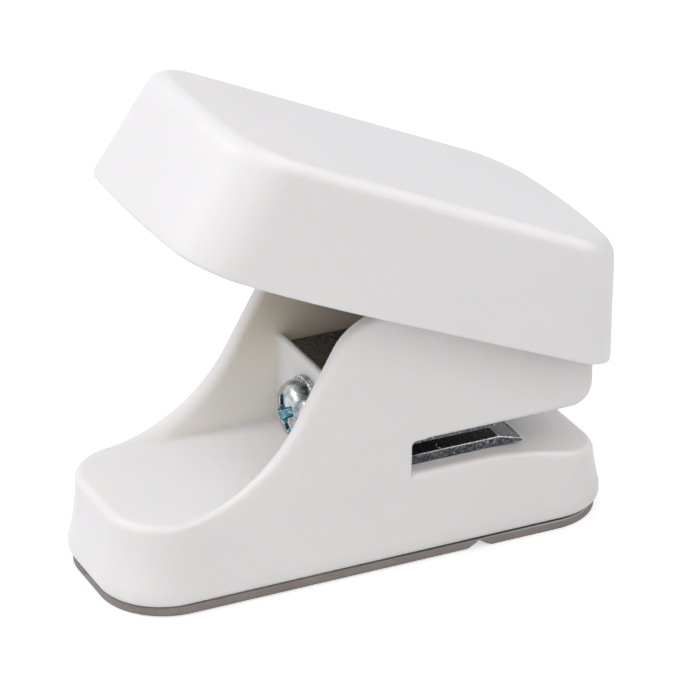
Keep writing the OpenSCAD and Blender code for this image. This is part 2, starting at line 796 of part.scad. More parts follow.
housing();
chip_cover();
tool_frame();
die_plate();
gap_spacer();
guide_plate();
frame_rivets();
frame_screw();
handle_axle();
axle_clips();
lever_washers();
return_spring();
handle_cap();
press_lever();
press_bar();
lever_screws();
punch_pin();
spring_cap();
stem_clip();
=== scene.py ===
"""Looks of a small disc binding punch. Shapes are worked out in millimetres and placed in metres."""

import json
import math

import bpy
import numpy as np
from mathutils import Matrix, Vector


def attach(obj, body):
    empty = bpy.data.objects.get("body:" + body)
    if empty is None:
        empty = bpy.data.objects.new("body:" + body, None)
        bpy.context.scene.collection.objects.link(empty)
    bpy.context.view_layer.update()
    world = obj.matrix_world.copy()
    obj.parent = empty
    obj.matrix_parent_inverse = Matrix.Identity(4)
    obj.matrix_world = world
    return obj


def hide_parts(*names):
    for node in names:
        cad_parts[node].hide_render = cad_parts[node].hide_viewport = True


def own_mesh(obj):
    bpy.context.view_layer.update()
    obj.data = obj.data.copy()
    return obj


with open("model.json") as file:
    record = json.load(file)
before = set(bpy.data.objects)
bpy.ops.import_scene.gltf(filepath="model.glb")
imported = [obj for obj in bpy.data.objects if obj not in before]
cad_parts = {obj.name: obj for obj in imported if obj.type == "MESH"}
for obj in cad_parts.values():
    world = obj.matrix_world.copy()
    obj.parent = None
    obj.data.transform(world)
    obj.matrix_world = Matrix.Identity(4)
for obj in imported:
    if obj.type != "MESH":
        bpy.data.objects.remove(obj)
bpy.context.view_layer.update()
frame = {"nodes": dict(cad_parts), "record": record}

MM = 0.001
# Base: outline, heights, flare of the sides, and the lead-in of the paper slot
BASE_L, BASE_W, BASE_R = 64.7, 24.0, 8.0
COVER_T, FOOT_Z, DECK_Z = 1.3, 3.0, 11.5
FLARE, SIDE_FLARE, LEDGE_R, PAPER_LEDGE_R, FOOT_R = 1.1, 0.7, 1.0, 0.9, 0.9
LEAD_X, LEAD, LEAD_R, LEAD_WALL = 18.15, math.tan(math.radians(13.5)), 0.8, 1.95
# Cheeks: a hollow curve that fades into the deck, slope, brow, top, and the jaw over the slot
SWOOP_X, SWOOP_R, SLOPE, FADE = -26.95, 20.0, math.radians(60), 24
CHEEK_TOP, TOP_FALL, CHEEK_ROOT, WALL, INNER = 33.0, 0.015, 3.5, 2.05, 9.2
BROW_X, BROW_R, EDGE_R = -0.424, 3.8, 0.8
SLOT_X, SLOT_TOP, SLOT_R, SLOT_EDGE_R = 4.45, 15.7, 0.6, 0.35
JAW_X, JAW_R, JAW_EDGE_R, UNDER_FROM, BRIDGE, BRIDGE_R = 28.5, 3.4, 0.5, 2, 5.5, 0.4
PIVOT_X, PIVOT_Z, PIVOT_IN, AXLE_R = 23.0, 27.5, 5.4, 2.02
# Inner edge of the cheeks: its rounding shrinks towards the jaw
INNER_R, LEAST_R, JAW_INNER_R = 2.6, 0.9, 0.5
SHRINK_X, SHRINK, JAW_FROM = -22, 0.12, 8
# Fillet at the foot of the cheeks, and the soft meeting of deck and cheeks at the user's end
FILLET_FROM, FILLET_GROWTH, FILLET_LEAST, FILLET_R, FILLET_IN = 12, 0.05, 0.01, 0.3, 0.5
SOFT_R, SOFT_Y, SOFT_X, SOFT_RUN = 0.7, 11, -10, 8
# How far joined shapes reach into each other, and how far cuts reach past a face
JOIN, LAP = 0.3, 1
# Cross wall, chip bin and the hole that the chips fall through
CROSS_X, CROSS_T, CROSS_TOP, CROSS_R = -3.55, 1.0, 22.5, 0.25
SCREW_Z, SCREW_HOLE_R = 16.9, 2.25
BIN_L, BIN_TOP, BIN_R, BIN_TOP_R, BIN_EDGE_R = 58.6, 9.5, 4.95, 0.6, 0.3
CHIP_X, CHIP_HEAD_R, CHIP_BACK, CHIP_STEM_X, CHIP_STEM_HALF = 8.85, 3.9, 0.8, 4.05, 2.2
# Cover: plate, plug ring, nick in the near edge and a flaw in the edge at the user's end
COVER_IN, COVER_R, COVER_GAP, COVER_TOP_R = 0.7, BASE_R + 0.2, 0.05, 0.12
SOLE_R, SOLE_PAPER_R = 0.45, 0.2
PLUG_IN, PLUG_R, PLUG_HALF, PLUG_LOW, PLUG_H = 0.6, 4.65, 0.5, 0.5, 1.8
NICK_X, NICK_W, NICK_H, NICK_GRADE, NICK_DEPTH = 13.2, 3.2, 0.95, 0.8, 3
FLAW_IN, FLAW_Y, FLAW_R = 0.3, 1.2, 0.55
# Pan-head screw, measured along its own axis from the seat of the head
HEAD_R, HEAD_EDGE_R, DOME_X, DOME_R = 3.75, 1.1, 4.4, 7.9
FLANGE_R, FLANGE_T, FLANGE_EDGE_R, TEETH, TOOTH = 3.98, 0.75, 0.12, 40, 0.09
SHANK_R, SHANK_L, SHANK_IN, THREAD, PITCH, THREAD_FROM = 1.76, 6, 0.5, 0.18, 0.7, -1.2
RECESS_Z, RECESS_R, RECESS_SKIN, RECESS_X, SCREW_TURN = 1.3, 2.6, 0.15, -1.2, math.radians(28)
WING, WING_GROWTH, REACH, REACH_GROWTH, CORE, CORE_GROWTH = 0.34, 0.14, 0.55, 0.95, 0.5, 0.35
# Handle, in its own frame: u along the rim, v across, w up
HANDLE_L, HANDLE_W, HANDLE_R, HANDLE_H = 58.9, 34.0, 6.1, 14.64
USER_BOW, PAPER_BOW, BOW_REACH = 1.4, 2.2, 1.6
TILT, WEDGE = math.radians(22.8), math.radians(1.4)
SIDE_IN, USER_IN, PAPER_IN = 1.45, 2.4, 4.95
TOP_R, RIM_RISE, RIM_REACH, RIM_R, SHELL = 1.9, 0.9, 24.0, 0.6, 1.6
CEILING_F, CEILING_R = 0.1, 1.4
PIVOT_U, PIVOT_W = 21.8, 2.7
RING_STEPS = (14, 14, 30)
# Screw bosses under the handle's top; the root lists how much wider at which depth
BOSS_U, BOSS_R, BOSS_LOW, BOSS_EDGE, BOSS_IN = (13.8, -7.7), 3.3, 10.15, 0.25, 0.2
BOSS_ROOT = ((0.5, 0), (0.15, 0.6), (0, 1.4))
BORE_R, BORE_EDGE, BORE_END, BOSS_SIDES = 1.47, 0.2, 0.4, 32
# Die plate, bright lines along its upper edges and one bent mark on its top
DIE_TOP, DIE_HALF, DIE_X, BEVEL_X, TIP_X, TIP_Z = 12.68, 8.88, 5.0, 17.05, 20.13, 11.8
MARK = ((9.5, -7.4), (9.0, -8.2), (9.4, -8.6))
EDGE_W, EDGE_SIDES = 0.075, 8
# Return spring
STEM_X, SPRING_Z, SPRING_L, WIRE, COIL, CURLS = 7.95, 21.8, 8.4, 0.7, 7.2, 3.5
SPRING_GAP, CURL_STEPS, WIRE_SIDES = 0.05, 32, 14
# Boxes and cell sizes that the fields are meshed in
HOUSING_GRID = (-32.4, -12, 1.3), (32.4, 12, 33.1), 0.42
COVER_GRID = (-32.1, -11.8, 0), (32.1, 11.8, 3.1), 0.25
SCREW_GRID = (-4.1, -4.1, -6), (4.1, 4.1, 3.6), 0.16
PULLS, LEAST_SLOPE, SLOPE_STEP, NORMAL_STEP = 4, 0.2, 0.03, 0.06


def round_and(a, b, r):
    """Intersection of two distance fields with a rounded edge."""
    return np.minimum(np.maximum(a, b), -r) + np.hypot(np.maximum(a + r, 0), np.maximum(b + r, 0))


def round_or(a, b, r):
    """Union of two distance fields with a filled corner."""
    return np.maximum(np.minimum(a, b), r) - np.hypot(np.maximum(r - a, 0), np.maximum(r - b, 0))


def slab(v, low, high):
    """Distance to the layer between two values."""
    return np.maximum(low - v, v - high)


def plan(x, y, length, width, r):
    """Distance to a rounded rectangle about the origin."""
    qx = np.abs(x) - (length / 2 - r)
    qy = np.abs(y) - (width / 2 - r)
    return np.hypot(np.maximum(qx, 0), np.maximum(qy, 0)) + np.minimum(np.maximum(qx, qy), 0) - r


def cheek_profile(x, z):
    """The cheeks seen from the side: hollow curve, slope, brow, top and jaw."""
    vx, vz = x - SWOOP_X, z - DECK_Z - SWOOP_R
    arc = SWOOP_R - np.hypot(vx, vz)
    line = SWOOP_R - vx * math.sin(SLOPE) + vz * math.cos(SLOPE)
    fade = z - DECK_Z + np.minimum(vx, 0) ** 2 / FADE
    curve = np.where(vx < 0, fade, np.where(np.arctan2(vx, -vz) < SLOPE, arc, line))
    top = z - CHEEK_TOP + (x - BROW_X) * TOP_FALL
    body = round_and(curve, top, BROW_R)
    end = round_and(x - JAW_X, z - PIVOT_Z - PIVOT_IN, PIVOT_IN)
    return np.maximum(body, end)


def housing_field(x, y, z):
    """Base, cheeks, cross wall and bridge, less the chip bin and the holes."""
    rise = np.clip((z - FOOT_Z) / (DECK_Z - LEDGE_R - FOOT_Z), 0, 1)
    flare = 1 - (1 - rise) ** 2
    length, width = BASE_L - 2 * FLARE * flare, BASE_W - 2 * SIDE_FLARE * flare
    side = plan(x, y, length, width, BASE_R - (FLARE + SIDE_FLARE) / 2 * flare)
    lead = (z - DECK_Z + (x - LEAD_X) * LEAD) / math.hypot(1, LEAD)
    deck = round_and(z - DECK_Z, lead, LEAD_R)
    base = round_and(side, deck, np.where(x < 0, LEDGE_R, PAPER_LEDGE_R))
    base = round_and(base, COVER_T - z, FOOT_R)

    profile = cheek_profile(x, z)
    under = np.hypot(np.maximum(x - JAW_X + JAW_R, 0), np.maximum(SLOT_TOP + JAW_R - z, 0)) - JAW_R
    slot = round_and(SLOT_X - x, z - SLOT_TOP, SLOT_R)
    flank = np.where(x < 0, side, np.abs(y) - BASE_W / 2 + SIDE_FLARE)
    cheeks = round_and(profile, flank, EDGE_R)
    cheeks = round_and(cheeks, np.where(x > SLOT_X + UNDER_FROM, under, -JAW_R), JAW_EDGE_R)
    cheeks = np.maximum(round_and(cheeks, -slot, SLOT_EDGE_R), DECK_Z - CHEEK_ROOT - z)
    inner_r = np.clip(INNER_R - (x - SHRINK_X) * SHRINK, LEAST_R, INNER_R)
    walls = round_and(cheeks, INNER - np.abs(y), np.where(x < JAW_FROM, inner_r, JAW_INNER_R))

    fillet_r = np.clip((x - SWOOP_X - FILLET_FROM) * FILLET_GROWTH, FILLET_LEAST, FILLET_R)
    fillet = round_or(z - DECK_Z, INNER - np.abs(y), fillet_r)
    fillet = np.maximum(np.maximum(fillet, profile + JOIN), slab(z, DECK_Z - LAP, DECK_Z + LAP))
    fillet = np.maximum(fillet, np.abs(y) - INNER - FILLET_IN)
    fillet = np.maximum(fillet, slab(x, SWOOP_X + FILLET_FROM, SLOT_X - FILLET_IN))

    between = np.abs(y) - INNER - JOIN
    cross = round_and(slab(x, CROSS_X, CROSS_X + CROSS_T), z - CROSS_TOP, CROSS_R)
    cross = np.maximum(np.maximum(cross, between), DECK_Z - LAP - z)
    bridge = round_and(np.maximum(profile, JAW_X - WALL - x), z - SLOT_TOP - BRIDGE, BRIDGE_R)
    bridge = np.maximum(np.maximum(bridge, under), np.maximum(between, SLOT_TOP - z))
    soft = SOFT_R * np.clip(SOFT_Y - np.abs(y), 0, 1) * np.clip((SOFT_X - x) / SOFT_RUN, 0, 1)
    solid = np.minimum(round_or(base, walls, soft), np.minimum(np.minimum(fillet, cross), bridge))

    bin_top = np.maximum(z - BIN_TOP, lead + LEAD_WALL)
    chip_bin = round_and(plan(x, y, BIN_L, 2 * INNER, BIN_R), bin_top, BIN_TOP_R)
    chip_hole = np.minimum(
        np.maximum(np.hypot(x - CHIP_X, y) - CHIP_HEAD_R, CHIP_X - CHIP_BACK - x),
        np.maximum(slab(x, CHIP_STEM_X, CHIP_X), np.abs(y) - CHIP_STEM_HALF),
    )
    chip_hole = np.maximum(chip_hole, slab(z, BIN_TOP - LAP, DECK_Z + LAP))
    screw_hole = np.hypot(y, z - SCREW_Z) - SCREW_HOLE_R
    screw_hole = np.maximum(screw_hole, slab(x, CROSS_X - LAP, CROSS_X + 2 * LAP))
    bore = np.hypot(x - PIVOT_X, z - PIVOT_Z) - AXLE_R
    cuts = np.minimum(np.minimum(chip_hole, screw_hole), bore)
    return np.maximum(round_and(solid, -chip_bin, BIN_EDGE_R), -cuts)


def cover_field(x, y, z):
    """Thin plate with a plug ring, less the nick and the flaw."""
    side = plan(x, y, BASE_L - COVER_IN, BASE_W - COVER_IN, COVER_R)
    plate = round_and(side, -z, np.where(x < NICK_X, SOLE_R, SOLE_PAPER_R))
    plate = round_and(plate, z - COVER_T + COVER_GAP, COVER_TOP_R)
    plug = plan(x, y, BIN_L - PLUG_IN, 2 * INNER - PLUG_IN, PLUG_R)
    ring = np.maximum(np.abs(plug + PLUG_HALF) - PLUG_HALF, slab(z, PLUG_LOW, COVER_T + PLUG_H))
    nick = z - NICK_H * (1 - 2 * np.abs(x - NICK_X) / NICK_W)
    nick = np.maximum(nick * NICK_GRADE, y + BASE_W / 2 - NICK_DEPTH)
    flaw_x = x + BASE_L / 2 - FLAW_IN
    flaw = np.sqrt(flaw_x ** 2 + (y - FLAW_Y) ** 2 + (z - COVER_T) ** 2) - FLAW_R
    return np.maximum(np.maximum(np.minimum(plate, ring), -nick), -flaw)


def screw_field(x, y, z):
    """Pan-head screw along +Z from its head's seat, with a cross recess and a few thread crests."""
    rho = np.hypot(x, y)
    turn = np.arctan2(y, x) / (2 * math.pi)
    dome = np.hypot(rho, z + DOME_X) - DOME_R
    head = np.maximum(round_and(rho - HEAD_R, dome, HEAD_EDGE_R), -z)
    teeth = TOOTH * np.cos(2 * math.pi * TEETH * turn)
    flange = round_and(slab(z, 0, FLANGE_T), rho - FLANGE_R - teeth, FLANGE_EDGE_R)
    thread = THREAD * np.cos(2 * math.pi * (z / PITCH - turn))
    shank = np.maximum(rho - SHANK_R - thread * (z < THREAD_FROM), slab(z, -SHANK_L, SHANK_IN))
    depth = np.maximum(z - RECESS_Z, 0)
    wing = WING + WING_GROWTH * depth
    reach = REACH + REACH_GROWTH * depth
    cross = np.minimum(
        np.maximum(np.abs(x) - wing, np.abs(y) - reach), np.maximum(np.abs(y) - wing, np.abs(x) - reach)
    )
    cross = np.maximum(np.minimum(cross, rho - CORE - CORE_GROWTH * depth), RECESS_Z - z)
    return np.maximum(np.minimum(np.minimum(head, flange), shank), -cross)


def slope_of(field, p, h=SLOPE_STEP):
    """Gradient of a distance field at points."""
    columns = []
    for axis in range(3):
        offset = np.zeros(3)
        offset[axis] = h
        columns.append((field(*(p + offset).T) - field(*(p - offset).T)) / (2 * h))
    return np.stack(columns, axis=1)


def polygonise(field, low, high, step):
    """Quads on the zero level of a distance field, with points pulled onto it and their normals."""
    axes = [np.arange(a - 1.5 * step, b + 2 * step, step) for a, b in zip(low, high)]
    origin = np.array([a[0] for a in axes])
    d = field(*np.meshgrid(*axes, indexing="ij"))
    inside = d < 0
    cells = tuple(n - 1 for n in inside.shape)
    corners = [(i, j, k) for i in (0, 1) for j in (0, 1) for k in (0, 1)]
    count = np.zeros(cells, dtype=int)
    for i, j, k in corners:
        count += inside[i:i + cells[0], j:j + cells[1], k:k + cells[2]]
    active = (count > 0) & (count < len(corners))
    ids = np.full(cells, -1)
    ids[active] = np.arange(active.sum())
    cell = np.argwhere(active)
    total, hits = np.zeros((len(cell), 3)), np.zeros(len(cell))
    for a in corners:
        for axis in range(3):
            if a[axis]:
                continue
            b = np.array(a)
            b[axis] = 1
            da, db = d[tuple((cell + a).T)], d[tuple((cell + b).T)]
            cut = (da < 0) != (db < 0)
            share = np.where(cut, da / np.where(cut, da - db, 1), 0)
            total[cut] += (cell + a + share[:, None] * (b - a))[cut]
            hits[cut] += 1
    points = total / hits[:, None] * step + origin
    faces = []
    for axis in range(3):
        u, v = np.eye(3, dtype=int)[(axis + 1) % 3], np.eye(3, dtype=int)[(axis + 2) % 3]
        first = np.take(inside, range(inside.shape[axis] - 1), axis)
        change = np.argwhere(first != np.take(inside, range(1, inside.shape[axis]), axis))
        ring = [change, change - u, change - u - v, change - v]
        quads = np.stack([ids[tuple(c.T)] for c in ring], axis=1)
        outward = inside[tuple(change.T)]
        faces.append(np.where(outward[:, None], quads, quads[:, ::-1]))
    for _ in range(PULLS):
        g = slope_of(field, points)
        move = field(*points.T)[:, None] * g / np.maximum((g * g).sum(1), LEAST_SLOPE)[:, None]
        points = points - np.clip(move, -step / 2, step / 2)
    g = slope_of(field, points, NORMAL_STEP)
    normals = g / np.maximum(np.linalg.norm(g, axis=1), 1e-6)[:, None]
    return points, np.concatenate(faces), normals


def piece(name, points, faces, normals=None):
    """A smooth mesh object from points in millimetres."""
    mesh = bpy.data.meshes.new(name)
    mesh.from_pydata((np.asarray(points) * MM).tolist(), [], [list(map(int, f)) for f in faces])
    mesh.polygons.foreach_set("use_smooth", [True] * len(mesh.polygons))
    if normals is not None:
        mesh.normals_split_custom_set_from_vertices(normals.tolist())
    obj = bpy.data.objects.new(name, mesh)
    bpy.context.scene.collection.objects.link(obj)
    return obj


def dress(obj, body, slot, material, *nodes):
    """Give a piece its material, its body and the solids that it stands for. The slot is not used."""
    obj.data.materials.append(material)
    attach(obj, body)
    if nodes:
        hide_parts(*nodes)


def circle(sides):
    """Angles of evenly spaced points round a circle."""
    return np.linspace(0, 2 * math.pi, sides + 1)[:-1]


def round_plan(length, width, r, steps):
    """Outline of a rounded rectangle, counter-clockwise, with divided arcs, ends and sides."""
    a, b = length / 2 - r, width / 2 - r
    arcs = [(a, -b, -90), (a, b, 0), (-a, b, 90), (-a, -b, 180)]
    rows = []
    for k, (cx, cy, start) in enumerate(arcs):
        turn = np.radians(start + np.linspace(0, 90, steps[0] + 1))
        rows.append(np.stack([cx + r * np.cos(turn), cy + r * np.sin(turn)], axis=1))
        following = arcs[(k + 1) % 4]
        first = np.radians(following[2])
        goal = np.array(following[:2]) + r * np.array([np.cos(first), np.sin(first)])
        share = np.linspace(0, 1, steps[1 + k % 2] + 1)[1:-1, None]
        rows.append(rows[-1][-1] + share * (goal - rows[-1][-1]))
    return np.concatenate(rows)


def top_at(u):
    """Height of the handle's sloping top."""
    return HANDLE_H - u * math.tan(WEDGE)


def rim_at(u):
    """Height of the handle's rim, which rises towards the user's end."""
    return RIM_RISE * (np.maximum(0, RIM_REACH - HANDLE_L / 2 - u) / RIM_REACH) ** 2


def handle_ring(f, inset):
    """One ring of the handle, f of the way from rim to top, moved in by inset."""
    length = HANDLE_L - (USER_IN + PAPER_IN) * f - 2 * inset
    width = HANDLE_W - 2 * SIDE_IN * f - 2 * inset
    r = HANDLE_R - inset
    p = round_plan(length, width, r, RING_STEPS)
    near_end = np.maximum(0, np.abs(p[:, 0]) - length / 2 + BOW_REACH * r) / (BOW_REACH * r)
    bow = np.where(p[:, 0] < 0, -USER_BOW, PAPER_BOW)
    p[:, 0] += bow * (1 - (2 * p[:, 1] / width) ** 2) * near_end
    u = p[:, 0] + (USER_IN - PAPER_IN) / 2 * f
    return np.stack([u, p[:, 1], rim_at(u) * (1 - f) + top_at(u) * f], axis=1)


def place_handle(p):
    """From the handle's own frame to the part's."""
    c, s = math.cos(TILT), math.sin(TILT)
    du, dw = p[:, 0] - PIVOT_U, p[:, 2] - PIVOT_W
    return np.stack([PIVOT_X + du * c + dw * s, p[:, 1], PIVOT_Z - du * s + dw * c], axis=1)


def shrunk(ring, shares):
    """Copies of a ring, drawn in towards its middle."""
    middle = (ring.min(0) + ring.max(0)) / 2
    return [ring * share + middle * (1 - share) for share in shares]


def skin(rings, offset=0):
    """Quads between rings, closed by a middle point at both ends."""
    n = len(rings[0])
    middles = [(r.min(0) + r.max(0)) / 2 for r in (rings[0], rings[-1])]
    points = np.concatenate(rings + [np.array(middles)])
    faces = []
    for i in range(len(rings) - 1):
        for j in range(n):
            k = (j + 1) % n
            faces.append([offset + q for q in (i * n + j, (i + 1) * n + j, (i + 1) * n + k, i * n + k)])
    top, low = len(points) - 2, len(points) - 1
    last = (len(rings) - 1) * n
    for j in range(n):
        k = (j + 1) % n
        faces.append([offset + q for q in (top, j, k)])
        faces.append([offset + q for q in (low, last + k, last + j)])
    return points, faces


def boss_rings(u):
    """A hollow screw boss under the top, from its root down and up again in the bore."""
    high = top_at(u) - SHELL + BOSS_IN
    shape = [(BOSS_R + more, high - depth) for more, depth in BOSS_ROOT]
    shape += [(BOSS_R, BOSS_LOW + BOSS_EDGE), (BOSS_R - BOSS_EDGE, BOSS_LOW)]
    shape += [(BORE_R + BORE_EDGE, BOSS_LOW), (BORE_R, BOSS_LOW + BORE_EDGE), (BORE_R, high - BORE_END)]
    turn = circle(BOSS_SIDES)
    rings = []
    for r, w in shape:
        rings.append(np.stack([u + r * np.cos(turn), r * np.sin(turn), np.full(BOSS_SIDES, w)], axis=1))
    return rings


def handle_mesh():
    """The handle's shell from the middle of its top, over the rim, to the middle of its ceiling."""
    rings = shrunk(handle_ring(1, TOP_R), (0.3, 0.65, 0.9))
    for a in np.radians(np.linspace(90, 0, 11)):
        rings.append(handle_ring(1 - TOP_R / HANDLE_H * (1 - math.sin(a)), TOP_R * (1 - math.cos(a))))
    low = RIM_R / HANDLE_H
    for f in np.linspace(1 - TOP_R / HANDLE_H, low, 7)[1:]:
        rings.append(handle_ring(f, 0))
    for a in np.radians(np.linspace(0, 90, 6)[1:]):
        rings.append(handle_ring(low * (1 - math.sin(a)), RIM_R * (1 - math.cos(a))))
    for a in np.radians(np.linspace(90, 0, 6)[:-1]):
        rings.append(handle_ring(low * (1 - math.sin(a)), SHELL - RIM_R * (1 - math.cos(a))))
    ceiling = 1 - SHELL / HANDLE_H
    for f in np.linspace(low, ceiling - CEILING_F, 6):
        rings.append(handle_ring(f, SHELL))
    for a in np.radians(np.linspace(0, 90, 6)[1:]):
        f = ceiling - CEILING_F * (1 - math.sin(a))
        rings.append(handle_ring(f, SHELL + CEILING_R * (1 - math.cos(a))))
    points, faces = skin(rings + shrunk(rings[-1], (0.9, 0.5)))
    for u in BOSS_U:
        more, quads = skin(boss_rings(u), len(points))
        points, faces = np.concatenate([points, more]), faces + quads
    return place_handle(points), faces


def spring_mesh():
    """A coil of round wire between the bracket and the cap."""
    rings = int(CURLS * CURL_STEPS)
    rise = SPRING_L - WIRE - 2 * SPRING_GAP
    b = circle(WIRE_SIDES)
    rows = []
    for i in range(rings + 1):
        a = 2 * math.pi * CURLS * i / rings
        r = COIL / 2 + WIRE / 2 * np.cos(b)
        z = SPRING_Z + SPRING_GAP + WIRE / 2 + rise * i / rings + WIRE / 2 * np.sin(b)
        rows.append(np.stack([STEM_X + r * math.cos(a), r * math.sin(a), z], axis=1))
    points, faces = skin(rows)
    return points, [f[::-1] for f in faces]


def die_edge_lines():
    """Thin bright lines along the die plate's upper edges, and the bent mark."""
    paths = []
    for y in (-DIE_HALF, DIE_HALF):
        paths.append([(DIE_X, y, DIE_TOP), (BEVEL_X, y, DIE_TOP), (TIP_X, y, TIP_Z)])
    for x, z in ((BEVEL_X, DIE_TOP), (TIP_X, TIP_Z)):
        paths.append([(x, -DIE_HALF, z), (x, 0, z), (x, DIE_HALF, z)])
    paths.append([(x, y, DIE_TOP) for x, y in MARK])
    points, faces = np.zeros((0, 3)), []
    turn = circle(EDGE_SIDES)
    for path in paths:
        along = np.array(path[-1]) - np.array(path[0])
        side = np.array([0, 1, 0]) if abs(along[0]) > abs(along[1]) else np.array([1, 0, 0])
        section = EDGE_W * (np.cos(turn)[:, None] * side + np.sin(turn)[:, None] * np.array([0, 0, 1]))
        more, quads = skin([np.array(p) + section for p in path], len(points))
        points, faces = np.concatenate([points, more]), faces + quads
    return points, faces


class Nodes:
    """Short names for building a node material."""

    def __init__(self, name):
        self.material = bpy.data.materials.new(name)
        self.material.use_nodes = True
        self.tree = self.material.node_tree
        self.shader = self.tree.nodes["Principled BSDF"]
        self.place = self.add("ShaderNodeTexCoord").outputs["Object"]

    def add(self, kind, **values):
        """A node with its properties and the values of its inputs."""
        node = self.tree.nodes.new(kind)
        for key, value in values.items():
            if hasattr(node, key):
                setattr(node, key, value)
            else:
                node.inputs[key.replace("_", " ")].default_value = value
        return node

    def link(self, source, target):
        self.tree.links.new(source, target)

    def noise(self, scale, detail=3.0, stretch=None):
        """Noise over the piece, drawn out along an axis where stretch is given."""
        node = self.add("ShaderNodeTexNoise", Scale=scale, Detail=detail)
        if stretch:
            mapping = self.add("ShaderNodeMapping", Scale=stretch)
            self.link(self.place, mapping.inputs["Vector"])
            self.link(mapping.outputs["Vector"], node.inputs["Vector"])
        else:
            self.link(self.place, node.inputs["Vector"])
        return node.outputs["Fac"]

    def ramp(self, source, stops):
        """Colours at places along a value."""
        node = self.add("ShaderNodeValToRGB")
        while len(node.color_ramp.elements) < len(stops):
            node.color_ramp.elements.new(0.5)
        for element, (at, colour) in zip(node.color_ramp.elements, stops):
            element.position = at
            element.color = (*colour, 1)
        self.link(source, node.inputs["Fac"])
        return node.outputs["Color"]

    def spread(self, source, low, high):
        """Noise brought to the range between two values."""
        node = self.add("ShaderNodeMapRange", From_Min=0.3, From_Max=0.7, To_Min=low, To_Max=high)
        self.link(source, node.inputs["Value"])
        return node.outputs["Result"]

    def multiply(self, a, b):
        node = self.add("ShaderNodeMix", data_type="RGBA", blend_type="MULTIPLY")
        node.inputs[0].default_value = 1.0
        self.link(a, node.inputs[6])
        self.link(b, node.inputs[7])
        return node.outputs[2]

    def along(self, axis, low, high):
        """From 0 to 1 between two places along one axis, counted from the middle plane for Y."""
        split = self.add("ShaderNodeSeparateXYZ")
        self.link(self.place, split.inputs[0])
        value = split.outputs[axis]
        if axis == "Y":
            size = self.add("ShaderNodeMath", operation="ABSOLUTE")
            self.link(value, size.inputs[0])
            value = size.outputs[0]
        node = self.add("ShaderNodeMapRange", From_Min=low, From_Max=high)
        self.link(value, node.inputs["Value"])
        return node.outputs["Result"]

    def combine(self, operation, a, b):
        node = self.add("ShaderNodeMath", operation=operation)
        self.link(a, node.inputs[0])
        self.link(b, node.inputs[1])
        return node.outputs[0]

    def between(self, share, a, b):
        """Mix of two colours, either given or linked."""
        node = self.add("ShaderNodeMix", data_type="RGBA")
        self.link(share, node.inputs[0])
        for socket, value in zip(node.inputs[6:8], (a, b)):
            if isinstance(value, tuple):
                socket.default_value = (*value, 1)
            else:
                self.link(value, socket)
        return node.outputs[2]

    def bump(self, source, distance, strength=1.0, before=None):
        node = self.add("ShaderNodeBump", Distance=distance, Strength=strength)
        self.link(source, node.inputs["Height"])
        if before is not None:
            self.link(before, node.inputs["Normal"])
        return node.outputs["Normal"]

    def finish(self, colour, roughness, normal, **fixed):
        """Join colour, roughness and normal to the shader and set its other values."""
        self.link(colour, self.shader.inputs["Base Color"])
        self.link(roughness, self.shader.inputs["Roughness"])
        self.link(normal, self.shader.inputs["Normal"])
        for key, value in fixed.items():
            self.shader.inputs[key.replace("_", " ")].default_value = value
        return self.material


CLEAR, BLACK = (1, 1, 1), (0, 0, 0)
# Places in metres between which the painted light on the cheeks comes in: a bounce-light tint on their
# inner faces, and a warm painted shade towards their top
CHEEK_FROM, CHEEK_TO, SHADED_Z = (0.0084, 0.0089), (0.0098, 0.0091), (0.016, 0.029)
# The same on the cover: its outer edge, the painted shade of the gap under the housing, and the painted
# highlight just under it
RIM_Y, RIM_X = (0.0098, 0.0102), (0.0297, 0.0301)
SEAM_SHADE_Z, SEAM_SHADE_X, SEAM_SHADE_TONE = (0.00115, 0.0012), (-0.008, 0.012), (0.09, 0.09, 0.095)
LIT_Z, LIT_X, LIT_TONE = (0.00099, 0.00105), (0.01, 0.022), (0.47, 0.45, 0.43)
COVER_LOW, COVER_HIGH = (0.26, 0.226, 0.21), (0.305, 0.27, 0.252)
CLOUDING, DUST_TONE, STAIN_TONE = 0.975, (0.72, 0.68, 0.64), (0.62, 0.62, 0.62)
SKIN_DEPTH, SKIN_TONE = 0.0016, (1.0, 0.72, 0.5)


def white_plastic(name, tone, inner, shaded):
    """Satin moulded plastic: soft flow clouding, a fine spark-eroded grain and a few tiny specks.

    The inner faces of the cheeks take a painted bounce-light tint, and towards their top a painted warm
    shade tint."""
    n = Nodes(name)
    cloud = n.ramp(n.noise(55, detail=2), [(0.3, tuple(c * CLOUDING for c in tone)), (0.7, tone)])
    specks = n.add("ShaderNodeTexVoronoi", Scale=190.0)
    n.link(n.place, specks.inputs["Vector"])
    dust = n.ramp(specks.outputs["Distance"], [(0.015, DUST_TONE), (0.03, CLEAR)])
    rare = n.ramp(n.noise(140, detail=0), [(0.60, CLEAR), (0.62, BLACK)])
    # Painted light: a bounce-light tint on the cheeks' inner faces, and a warm painted shade towards
    # their top
    inner_faces = n.combine("MULTIPLY", n.along("Y", *CHEEK_TO), n.along("Y", *CHEEK_FROM))
    painted_shade_mask = n.combine("MULTIPLY", inner_faces, n.along("Z", *SHADED_Z))
    warm = n.multiply(n.between(inner_faces, CLEAR, inner), n.between(painted_shade_mask, CLEAR, shaded))
    grain = n.bump(n.noise(5200, detail=2), distance=0.00001, strength=0.35)
    wave = n.bump(n.noise(120, detail=1), distance=0.00006, strength=0.25, before=grain)
    colour = n.multiply(n.multiply(cloud, warm), n.between(rare, dust, CLEAR))
    n.shader.inputs["Subsurface Radius"].default_value = SKIN_TONE
    rough = n.spread(n.noise(700, detail=3), low=0.36, high=0.46)
    return n.finish(colour, rough, wave, Specular_IOR_Level=0.45, Subsurface_Weight=0.4,
                    Subsurface_Scale=SKIN_DEPTH)


